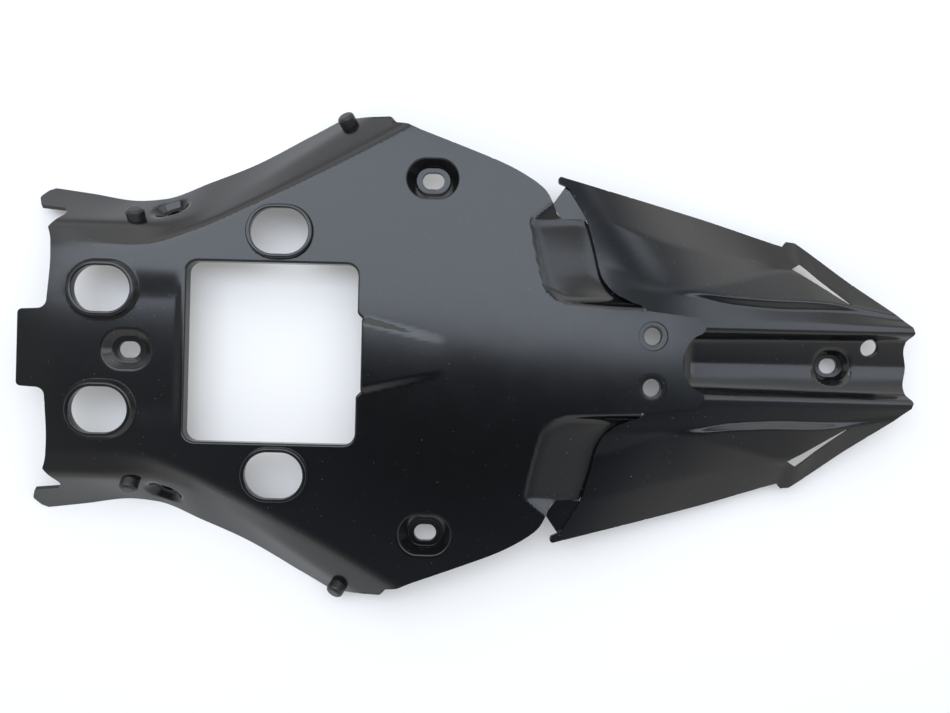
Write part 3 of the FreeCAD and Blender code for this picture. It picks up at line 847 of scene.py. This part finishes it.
class FrontTray:
    """The windowed front tray with its skirts, pockets and tongue."""

    NODE = "front_tray"

    def __init__(self, sizes: FrontSizes) -> None:
        """Keep the sizes, the skirt's sections and the pocket's limits.

        Args:
            sizes: Sizes of the tray.
        """
        self.s = sizes
        self.skirts = Stations(sizes.skirt)
        self.pocket_front = Stations(sizes.pocket_front)
        self.lap = Stations([(y, x) for x, y in sizes.lap_start + sizes.lap])
        self.pocket = self._pocket_walls()

    def _pocket_walls(self) -> list[tuple[Vector, Vector]]:
        """Walls of a pocket.

        Returns:
            A point on each wall's upper edge, and its inward direction divided by its run.
        """
        walls = []
        for a, b, run in zip(self.s.pocket_mouth[1:], self.s.pocket_mouth[2:], self.s.pocket_runs):
            along = (Vector(b) - Vector(a)).normalized()
            inward = Vector((-along.y, along.x))
            walls.append((Vector(a), inward / run))
        return walls

    def surface(self, x: float, y: float) -> float:
        """Height of the upper face at a place in plan.

        Args:
            x: Place along the tray.
            y: Place across it.

        Returns:
            The height above the plane that the tray stands on.
        """
        s = self.s
        a = abs(y)
        deck, crease, drop, foot = self.skirts.at(x)
        section = ((0.0, 0.0), (deck, 0.0), (crease, -drop), (foot, -s.deck_z))
        z = s.deck_z + rounded_section(section, a, s.bend)
        z -= s.panel_drop * min(ease(a, s.panel_halves), ease(x, s.panel_rears)) * ease(x, s.panel_fade)
        start, end = s.ramp_xs
        if start < x < end:
            share = (x - start) / (end - start)
            half = s.ramp_halves[0] + (s.ramp_halves[1] - s.ramp_halves[0]) * share
            run = s.ramp_runs[0] + (s.ramp_runs[1] - s.ramp_runs[0]) * share
            z += s.ramp_rise * (1.0 - share) * soft_step((half - a) / run)
        return z - self._pocket_sunk(x, a)

    def _pocket_sunk(self, x: float, a: float) -> float:
        """Depth of a pocket: shallow at its mouth and deep under the wing's edge.

        Args:
            x: Place along the tray.
            a: Distance from the middle.

        Returns:
            The depth below the deck.
        """
        s = self.s
        if x <= s.pocket_mouth[1][0]:
            return 0.0
        far, near = s.pocket_mouth[:2]
        brow = near[1] + (x - near[0]) * (far[1] - near[1]) / (far[0] - near[0])
        share = (brow - a) / (brow - s.pocket_foot)
        for at, inward in self.pocket:
            share = soft_min(share, (Vector((x, a)) - at).dot(inward), s.pocket_blend)
        start, end = self.pocket_front.at(a)[0], self.lap.at(a)[0]
        return s.pocket_depth * soft_clamp((x - start) / (end - start), s.pocket_ease) * soft_step(share)

    def skirt_frame(self, x: float, share: float, side: Side) -> Matrix:
        """Frame on the skirt's outer face.

        Args:
            x: Place along the tray.
            share: Share of the way from the crease down to the foot.
            side: Which skirt.

        Returns:
            A frame with Z out of the face and X along the tray.
        """
        spots = []
        for place in (x, x + self.s.cell[0]):
            _, crease, drop, foot = self.skirts.at(place)
            top = Vector((place, side.value * crease, self.s.deck_z - drop))
            low = Vector((place, side.value * foot, 0.0))
            spots.append((top, low, top.lerp(low, share)))
        top, low, here = spots[0]
        return face_frame(here, spots[1][2] - here, low - top)

    def edge(self) -> list[Point]:
        """Plan outline, from the tab round both sides.

        Returns:
            The outline's points, without the closing one.
        """
        s = self.s
        corners = [s.horn_notch, *s.horn, *s.beyond_foot, *s.shoulder, *s.rear_step]
        half = [[s.tab], [s.tab_root], list(s.cheek)] + [[corner] for corner in corners]
        half += [list(s.rear_edge)] + [[corner] for corner in s.pocket_rear + s.tongue]
        bite = [*s.bite, *mirrored(s.bite[:-1])]
        rounded = (s.tab, s.tab_root, s.horn_notch, *s.horn, *s.shoulder[1:], s.rear_step[0], *s.tongue[1:])
        radii = dict(zip(rounded, (*s.tab_radii, *s.horn_radii, *s.shoulder_radii, s.rear_step_r,
                                   *s.tongue_radii)))
        return outline(both_sides(half, [bite]), radii)

    def window(self) -> FreeOpening:
        """The window with its rolled lip, stepped back behind the ramp.

        Returns:
            The opening.
        """
        s = self.s
        roll = s.window_roll
        front, rear, half = s.window[0] - roll, s.window[1] + roll, s.window[2] + roll
        depth, notch, notch_r = s.window_notch
        runs = [[(front, half)], [(rear, half)], [(rear, notch)], [(rear + depth, notch - depth)]]
        radii = {(front, half): s.window_r, (rear, half): s.window_r, (rear, notch): notch_r,
                 (rear + depth, notch - depth): notch_r}
        low = s.deck_z - s.lip_drop
        turns = [math.pi * step / (2.0 * s.roll_steps) for step in range(s.roll_steps + 1)]
        upper = [Inset(roll * math.sin(turn), roll * (math.cos(turn) - 1.0)) for turn in turns]
        upper.append(Inset(roll, low, True))
        lower = [Inset(roll - s.wall, s.lip_root), Inset(roll - s.wall, low, True), Inset(roll, low, True)]
        return FreeOpening(outline(both_sides(runs), radii), upper, lower)

    def openings(self) -> list[Opening]:
        """Every opening of the tray.

        Returns:
            The window and the front slot, then the openings of each side.
        """
        s = self.s
        low = s.deck_z - s.panel_drop
        found: list[Opening] = [self.window()]
        found.append(cup(Matrix.Translation((*s.front_slot, low)), s.front_slot_mouth, s.slot_seat, s.slot,
                         s.front_slot_drop, s.wall))
        for side in Side:
            for oval, sizes in ((s.front_oval, s.front_collar), (s.rear_oval, s.rear_collar)):
                found.append(collar(spot(oval, side, s.deck_z), s.oval, *sizes, s.panel_drop + s.wall))
            found.append(cup(spot(s.deck_slot, side, s.deck_z), s.deck_slot_mouth, s.slot_seat, s.slot,
                             s.deck_slot_drop, s.wall))
            found.append(cup(self.skirt_frame(*s.skirt_cup, side), *s.skirt_cup_sizes, s.skirt_cup_drop,
                             s.wall))
            found.append(seat_ring(spot(s.join, side, s.deck_z), s.join_hole, s.join_seat, s.join_drop,
                                   s.wall))
        return found

    def build(self, material: Material) -> None:
        """Model the tray and put it in place of its solid.

        Args:
            material: Finish of the tray.
        """
        s = self.s
        sheet = Sheet(self.edge(), self.openings())
        xs = spread(s.tab[0], s.tongue[2][0], s.cell[0]) + spread(*s.fine_x)
        ys = spread(-s.shoulder[1][1], s.shoulder[1][1], s.cell[1])
        sheet.rule(0, xs)
        sheet.rule(1, ys + [side.value * y for side in Side for y in spread(*s.fine_y)])
        sheet.settle(s.weld)
        sheet.lift(self.surface, s.wall)
        sheet.trim_foot()
        sheet.soften(s.edge)
        fit(make_object("front_tray_moulding", sheet.bm, material), self.NODE)


@dataclass(frozen=True)
class TailSizes(SheetSizes):
    """Sizes of the tail tray: sections, outline and openings."""

    bend: float = 1.5
    ridge_z: float = 27.4
    trough_depth: float = 10.0
    trough_half: float = 21.2
    ridge_half: float = 26.5
    plateau_run: float = 2.2
    sections: tuple[tuple[float, ...], ...] = (
        (50.0, 0.0, 15.5, 0.0, 0.0, 44.0, 26.6, 62.0, 25.2, 92.0, 26.6, 124.0, 28.4),
        (85.0, 0.0, 15.5, 0.0, 0.0, 44.0, 26.4, 62.0, 24.9, 90.5, 25.4, 116.0, 24.6),
        (134.0, 0.0, 15.5, 0.0, 0.0, 44.0, 26.0, 47.4, 25.7, 78.5, 22.0, 104.5, 16.8),
        (150.0, 1.0, 15.5, 2.6, 0.5, 43.4, 26.0, 49.0, 26.0, 75.5, 21.2, 100.5, 14.2),
        (176.0, 1.0, 16.2, 2.8, 1.8, 40.0, 25.9, 54.9, 25.5, 71.0, 20.4, 94.0, 11.2),
        (211.0, 1.0, 16.8, 3.0, 2.6, 38.2, 25.8, 63.2, 24.0, 66.6, 20.8, 85.4, 8.4),
        (219.0, 1.0, 17.0, 3.0, 2.4, 38.2, 25.8, 60.6, 24.3, 65.8, 21.6, 82.6, 12.6),
        (234.0, 1.0, 17.3, 3.1, 1.8, 38.0, 25.7, 51.8, 24.8, 54.4, 22.6, 75.0, 13.4),
        (254.0, 1.0, 17.8, 3.2, 0.8, 36.4, 25.6, 41.2, 25.2, 44.0, 23.8, 59.0, 16.4),
        (296.0, 1.0, 18.6, 3.6, 0.3, 30.0, 26.0, 35.0, 24.6, 38.5, 23.4, 44.0, 20.0))
    underlap: Run = ((104.0, 30.5), (117.0, 30.5), (117.6, 32.4))
    lap_start: Run = ((116.8, 34.6), (113.4, 36.8), (108.0, 38.8))
    lap_end: Point = (65.0, 111.6)
    hook: Run = ((62.0, 113.6), (57.4, 115.4), (57.0, 120.2))
    hook_r: float = 1.7
    rim: Run = ((87.0, 112.8), (140.5, 100.2), (169.5, 92.6), (210.7, 80.0))
    lug: Run = ((214.0, 83.6), (219.0, 82.4))
    tip: Run = ((291.6, 26.6), (292.9, 23.0))
    end: Run = ((290.1, 12.8), (292.4, 0.0))
    wing_tab: Run = ((62.5, 114.4), (53.8, 102.0), (60.6, 92.6), (80.0, 92.6), (84.0, 106.0))
    wing_tab_z: float = 24.4
    slit: Run = ((212.8, 63.4), (219.6, 67.4), (251.9, 41.3), (251.3, 40.4))
    floor_curve: float = 1.6
    floor_steps: int = 6
    slot_x: float = 243.3
    slot_sizes: tuple[Point, Point, Point] = ((23.6, 20.4), (18.0, 14.6), (12.0, 10.0))
    slot_drop: float = 4.5
    wire_hole: Point = (267.3, 12.6)
    wire_hole_size: float = 11.0
    slope_reach: float = 2.0
    cell: Point = (2.2, 1.2)
    fine_y: Triple = (15.4, 22.6, 0.6)


class TailTray:
    """The winged tail tray with its trough."""

    NODE = "tail_tray"

    def __init__(self, sizes: TailSizes) -> None:
        """Keep the sizes and the sections."""
        self.s = sizes
        self.table = Stations(sizes.sections)

    def surface(self, x: float, y: float) -> float:
        """Height of the upper face at a place in plan.

        Args:
            x: Place along the tray.
            y: Place across it.

        Returns:
            The height above the plane that the tray stands on.
        """
        s = self.s
        sunk, foot, foot_rise, rise, root, z_root, *outer = self.table.at(x)
        floor = s.ridge_z - s.trough_depth * sunk
        shares = [step / s.floor_steps for step in range(s.floor_steps + 1)]
        points = [(foot * t, floor + foot_rise * t**s.floor_curve) for t in shares]
        points += [(s.trough_half, s.ridge_z), (s.ridge_half, s.ridge_z), (root, z_root),
                   (root + s.plateau_run, z_root + rise), *zip(outer[::2], outer[1::2])]
        return rounded_section(points, abs(y), s.bend)

    def slope_frame(self, at: Point) -> Matrix:
        """Frame on the upper face.

        Args:
            at: The place in plan.

        Returns:
            A frame with Z out of the face and X along the tray.
        """
        (x, y), reach = at, self.s.slope_reach
        here, ahead, beside = (Vector((px, py, self.surface(px, py)))
                               for px, py in ((x, y), (x + reach, y), (x, y + reach)))
        return face_frame(here, ahead - here, beside - here)

    def edge(self) -> list[Point]:
        """Plan outline, from under the tongue round both wings to the tail's end.

        Returns:
            The outline's points, without the closing one.
        """
        s = self.s
        half = [[corner] for corner in s.underlap] + [[*s.lap_start, *s.lap, s.lap_end]]
        half += [[corner] for corner in s.hook] + [list(s.rim)]
        half += [[corner] for corner in s.lug + s.tip[:1]]
        end = [s.tip[1], *s.end, *mirrored([s.tip[1], s.end[0]])]
        radii = {s.hook[1]: s.hook_r, s.hook[2]: s.hook_r}
        return outline(both_sides(half, [end]), radii)

    def openings(self) -> list[Opening]:
        """Every opening of the tray.

        Returns:
            The slot and the wiring hole, then the openings of each side.
        """
        s = self.s
        found: list[Opening] = [cup(self.slope_frame((s.slot_x, 0.0)), *s.slot_sizes, s.slot_drop, s.wall),
                                plain_hole(self.slope_frame(s.wire_hole), s.wire_hole_size, s.wall)]
        for side in Side:
            slit = [(x, side.value * y) for x, y in s.slit]
            found.append(FreeOpening(slit, [Inset(0.0, 0.0), Inset(0.0, -s.wall)], []))
            found.append(plain_hole(spot(s.join, side, s.ridge_z), s.join_hole, s.wall))
        return found

    def build(self, material: Material) -> None:
        """Model the tray and put it in place of its solid.

        Args:
            material: Finish of the tray.
        """
        s = self.s
        sheet = Sheet(self.edge(), self.openings())
        sheet.rule(0, spread(s.hook[1][0], s.tip[1][0], s.cell[0]))
        ys = spread(-s.hook[2][1], s.hook[2][1], s.cell[1])
        sheet.rule(1, ys + [side.value * y for side in Side for y in spread(*s.fine_y)])
        sheet.settle(s.weld)
        sheet.lift(self.surface, s.wall)
        for side in Side:
            sheet.add_plate([(x, side.value * y) for x, y in s.wing_tab], s.wing_tab_z, s.wall)
        sheet.soften(s.edge)
        fit(make_object("tail_tray_moulding", sheet.bm, material), self.NODE)


@dataclass(frozen=True)
class BufferSizes:
    """Sizes and places of the rubber buffers."""

    diameter: float = 11.6
    height: float = 6.8
    sunk: float = 1.25
    dome: float = 2.4
    dome_steps: int = 8
    stem: Point = (5.8, 6.0)
    places: tuple[tuple[str, float, float], ...] = (("front", -221.5, 0.2), ("rear", -83.5, 0.25))
    segments: int = 64
    smooth: float = math.radians(50.0)


class Buffers:
    """The four rubber buffers on the skirts."""

    def __init__(self, sizes: BufferSizes, tray: FrontTray) -> None:
        """Keep the sizes and the tray that they stand on."""
        self.s = sizes
        self.tray = tray

    def profile(self) -> list[Point]:
        """Radius and height along a buffer.

        Returns:
            The points, from the crown to the end of the stem.
        """
        s = self.s
        radius, dome = s.diameter / 2.0, s.dome
        crown = [(radius - dome + dome * math.sin(a), s.height - dome + dome * math.cos(a))
                 for a in (math.pi * step / (2.0 * s.dome_steps) for step in range(s.dome_steps + 1))]
        stem_r, stem_l = s.stem[0] / 2.0, s.stem[1]
        foot = [(radius, -s.sunk), (stem_r, -s.sunk), (stem_r, -stem_l), (0.0, -stem_l)]
        return [(0.0, s.height), *crown, *foot]

    def build(self, material: Material) -> None:
        """Model the buffers and put them in place of their solids.

        Args:
            material: Finish of the buffers.
        """
        for name, x, share in self.s.places:
            for side in Side:
                bm = bmesh.new()
                verts = [bm.verts.new((r, 0.0, z)) for r, z in self.profile()]
                lines = [bm.edges.new(pair) for pair in zip(verts, verts[1:])]
                bmesh.ops.spin(bm, geom=[*verts, *lines], axis=(0.0, 0.0, 1.0), cent=(0.0, 0.0, 0.0),
                               angle=math.tau, steps=self.s.segments, use_merge=True)
                bmesh.ops.remove_doubles(bm, verts=bm.verts[:], dist=TINY)
                bmesh.ops.transform(bm, matrix=self.tray.skirt_frame(x, share, side), verts=bm.verts[:])
                node = f"buffer_{name}_{side.name.lower()}"
                fit(make_object(f"{node}_rubber", bm, material, self.s.smooth), node)


def fit(piece: Object, node: str) -> None:
    """Let a piece stand for a node of the frame.

    Args:
        piece: The piece.
        node: The node that it replaces.
    """
    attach(piece, "root")
    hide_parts(node)


class Value:
    """A shader socket that can be used in sums."""

    def __init__(self, graph: Graph, socket: NodeSocket) -> None:
        """Wrap an output socket of a graph."""
        self.graph = graph
        self.socket = socket

    def _math(self, kind: str, a: Any, b: Any) -> Value:
        """Join two values with a math node."""
        return self.graph.value("ShaderNodeMath", {"operation": kind}, {0: a, 1: b})

    def __add__(self, other: Any) -> Value:
        """Sum."""
        return self._math("ADD", self, other)

    def __sub__(self, other: Any) -> Value:
        """Difference."""
        return self._math("SUBTRACT", self, other)

    def __rsub__(self, other: Any) -> Value:
        """Difference, the other way round."""
        return self._math("SUBTRACT", other, self)

    def __mul__(self, other: Any) -> Value:
        """Product."""
        return self._math("MULTIPLY", self, other)

    __radd__, __rmul__ = __add__, __mul__

    def ramp(self, low: float, high: float) -> Value:
        """Smooth change from 0 to 1 as this value goes from low to high."""
        return self.graph.value("ShaderNodeMapRange", {"interpolation_type": "SMOOTHSTEP"},
                                {0: self, 1: low, 2: high})


class Graph:
    """A node tree that is built one node at a time."""

    def __init__(self, owner: Material | World) -> None:
        """Start with an empty tree.

        Args:
            owner: The material or world that the tree belongs to.
        """
        owner.use_nodes = True
        self.tree = owner.node_tree
        self.tree.nodes.clear()

    def node(self, kind: str, settings: dict[str, Any] | None = None,
             inputs: dict[int | str, Any] | None = None) -> Node:
        """Add a node.

        Args:
            kind: Type of the node.
            settings: Properties of the node.
            inputs: Socket values, or values of other nodes that are linked to the sockets.

        Returns:
            The node.
        """
        node = self.tree.nodes.new(kind)
        for name, setting in (settings or {}).items():
            setattr(node, name, setting)
        for key, given in (inputs or {}).items():
            if isinstance(given, Value):
                self.tree.links.new(given.socket, node.inputs[key])
            else:
                node.inputs[key].default_value = given
        return node

    def value(self, kind: str, settings: dict[str, Any] | None = None,
              inputs: dict[int | str, Any] | None = None, output: int | str = 0) -> Value:
        """Add a node and return one of its outputs."""
        return Value(self, self.node(kind, settings, inputs).outputs[output])

    def blend(self, share: Value, first: Sequence[float], second: Sequence[float]) -> Value:
        """Colour between two others."""
        inputs = {"Factor": share, 6: first, 7: second}
        return self.value("ShaderNodeMix", {"data_type": "RGBA"}, inputs, output=2)

    def noise(self, scale: float, detail: float, place: Value) -> Value:
        """Noise around a half."""
        return self.value("ShaderNodeTexNoise", {}, {"Vector": place, "Scale": scale, "Detail": detail})


@dataclass(frozen=True)
class Finish:
    """Look of a moulded surface; scales are features to the metre."""

    name: str
    colour: Triple
    roughness: float
    mottle: float
    mottle_scale: float
    grain_scale: float
    grain_height: float
    wave_scale: float
    wave_height: float
    dust: float
    specular: float
    fine: float = 9.0
    specks: Triple = (14.0, 0.83, 0.87)
    speck_colour: Triple = (0.32, 0.32, 0.31)

    def material(self) -> Material:
        """Build the finish on object coordinates.

        Returns:
            The material.
        """
        material = bpy.data.materials.new(self.name)
        g = Graph(material)
        place = g.value("ShaderNodeTexCoord", output="Object")
        mottle = g.noise(self.mottle_scale, 4.0, place)
        fine = g.noise(self.mottle_scale * self.fine, 3.0, place)
        rough = self.roughness + self.mottle * (mottle - 0.5) + self.mottle * 0.5 * (fine - 0.5)
        times, low, high = self.specks
        grey = g.noise(self.mottle_scale * times, 0.0, place).ramp(low, high) * self.dust
        colour = g.blend(grey, (*self.colour, 1.0), (*self.speck_colour, 1.0))
        height = (g.noise(self.grain_scale, 2.0, place) * self.grain_height
                  + g.noise(self.wave_scale, 1.0, place) * self.wave_height)
        normal = g.value("ShaderNodeBump", {}, {"Strength": 1.0, "Distance": 1.0, "Height": height})
        shader = g.value("ShaderNodeBsdfPrincipled", {}, {
            "Base Color": colour, "Roughness": rough, "Normal": normal, "Specular IOR Level": self.specular})
        g.node("ShaderNodeOutputMaterial", {}, {"Surface": shader})
        return material


PLASTIC = Finish("moulded_plastic", (0.0045, 0.0046, 0.005), roughness=0.15, mottle=0.05, mottle_scale=60.0,
                 grain_scale=1100.0, grain_height=0.000006, wave_scale=16.0, wave_height=0.00022, dust=0.2,
                 specular=0.5)
RUBBER = Finish("buffer_rubber", (0.008, 0.008, 0.008), roughness=0.4, mottle=0.08, mottle_scale=90.0,
                grain_scale=1800.0, grain_height=0.00001, wave_scale=40.0, wave_height=0.00001, dust=0.1,
                specular=0.45)


@dataclass(frozen=True)
class SoftBox:
    """A soft box overhead: its ends along its near edge, where that edge crosses X = 0, and its depth."""

    name: str
    ends: Point
    near_y: float
    depth: float
    radiance: float
    z: float = 1.03
    turn: float = math.radians(-5.0)
    colour: Triple = (0.9, 0.99, 1.12)

    def hang(self) -> None:
        """Hang the lamp."""
        lamp = bpy.data.lights.new(self.name, "AREA")
        lamp.shape = "RECTANGLE"
        lamp.size, lamp.size_y = self.ends[1] - self.ends[0], self.depth
        lamp.color = self.colour
        lamp.energy = math.pi * self.radiance * lamp.size * lamp.size_y
        box = placed(self.name, lamp)
        middle = Matrix.Rotation(self.turn, 3, "Z") @ Vector((sum(self.ends) / 2.0, self.depth / 2.0, 0.0))
        box.location = middle + Vector((0.0, self.near_y, self.z))
        box.rotation_euler = (0.0, 0.0, self.turn)


@dataclass(frozen=True)
class StudioSizes:
    """Places and strengths of the light, the floor and the camera, in metres, radians and radiance."""

    floor_half: float = 4.0
    floor_z: float = -0.0002
    floor_colour: float = 0.72
    floor_glow: float = 0.15
    boxes: tuple[SoftBox, ...] = (SoftBox("soft_box", (-0.9, 0.26), 0.03, 0.46, 3.5),
                                  SoftBox("soft_strip", (0.26, 0.42), 0.03, 0.13, 3.5),
                                  SoftBox("soft_end", (0.42, 0.98), 0.03, 0.4, 2.1))
    overhead: float = 0.02
    overhead_colour: Triple = (0.75, 0.97, 1.3)
    low: float = 0.95
    tilts: Point = (0.19, 0.85)
    tint_tilts: Point = (0.1, 0.7)
    front_dim: float = 0.4
    dim_up: Point = (0.3, 0.7)
    dim_back: Point = (0.1, -0.5)
    left_glow: float = 1.3
    glow_left: Point = (0.25, 0.5)
    glow_up: Point = (0.2, 0.7)
    camera: Triple = (0.00525, 0.0009, 0.494)
    camera_turn: float = math.radians(1.39)
    view_angle: float = math.radians(67.3)
    clip_start: float = 0.01


class Studio:
    """Floor, light and camera around the object."""

    def __init__(self, sizes: StudioSizes) -> None:
        """Keep the sizes."""
        self.s = sizes

    def floor(self) -> None:
        """A plain pale floor that keeps the shadow."""
        material = bpy.data.materials.new("floor")
        g = Graph(material)
        path = g.node("ShaderNodeLightPath")
        seen = sum((Value(g, path.outputs[name]) for name in ("Is Glossy Ray", "Is Transmission Ray")),
                   Value(g, path.outputs["Is Camera Ray"]))
        grey = (self.s.floor_colour,) * 3
        diffuse = g.value("ShaderNodeBsdfDiffuse", {}, {"Color": (*grey, 1.0)})
        glow = g.value("ShaderNodeEmission", {}, {"Color": WHITE, "Strength": seen * self.s.floor_glow})
        both = g.value("ShaderNodeAddShader", {}, {0: diffuse, 1: glow})
        g.node("ShaderNodeOutputMaterial", {}, {"Surface": both})
        bm = bmesh.new()
        bmesh.ops.create_grid(bm, x_segments=1, y_segments=1, size=self.s.floor_half)
        bmesh.ops.translate(bm, vec=(0.0, 0.0, self.s.floor_z), verts=bm.verts[:])
        mesh = bpy.data.meshes.new("floor")
        bm.to_mesh(mesh)
        bm.free()
        mesh.materials.append(material)
        floor = placed("floor", mesh)

    def light(self) -> None:
        """Soft boxes over the left side, and a room that is pale low down and dark overhead."""
        s = self.s
        for box in s.boxes:
            box.hang()
        world = bpy.data.worlds.new("room")
        g = Graph(world)
        way = g.node("ShaderNodeSeparateXYZ", {}, {0: g.value("ShaderNodeTexCoord", output="Generated")})
        back, left, up = (Value(g, way.outputs[axis]) for axis in "XYZ")
        tilt = g.value("ShaderNodeMath", {"operation": "ARCCOSINE"}, {0: up})
        room = g.value("ShaderNodeMapRange", {},
                       {0: tilt, 1: s.tilts[0], 2: s.tilts[1], 3: s.overhead, 4: s.low})
        dim = 1.0 - s.front_dim * up.ramp(*s.dim_up) * back.ramp(*s.dim_back)
        strength = room * dim + s.left_glow * left.ramp(*s.glow_left) * up.ramp(*s.glow_up)
        colour = g.blend(tilt.ramp(*s.tint_tilts), (*s.overhead_colour, 1.0), WHITE)
        sky = g.value("ShaderNodeBackground", {}, {"Color": colour, "Strength": strength})
        g.node("ShaderNodeOutputWorld", {}, {"Surface": sky})
        bpy.context.scene.world = world

    def camera(self) -> None:
        """A camera straight above, turned as the photograph was taken."""
        lens = bpy.data.cameras.new("camera")
        lens.sensor_fit = "HORIZONTAL"
        lens.angle = self.s.view_angle
        lens.clip_start = self.s.clip_start
        camera = placed("camera", lens)
        camera.location = self.s.camera
        camera.rotation_euler = (0.0, 0.0, self.s.camera_turn)
        bpy.context.scene.camera = camera

    def build(self) -> None:
        """Set up the stage."""
        self.floor()
        self.light()
        self.camera()
        bpy.context.scene.view_settings.view_transform = "Standard"


def main() -> None:
    """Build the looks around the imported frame."""
    logging.basicConfig(level=logging.INFO, format="%(name)s: %(message)s")
    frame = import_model()
    LOG.info("frame nodes: %s", ", ".join(sorted(frame["nodes"])))
    plastic, rubber = PLASTIC.material(), RUBBER.material()
    front = FrontTray(FrontSizes())
    front.build(plastic)
    TailTray(TailSizes()).build(plastic)
    Buffers(BufferSizes(), front).build(rubber)
    Studio(StudioSizes()).build()


if __name__ == "__main__":
    main()
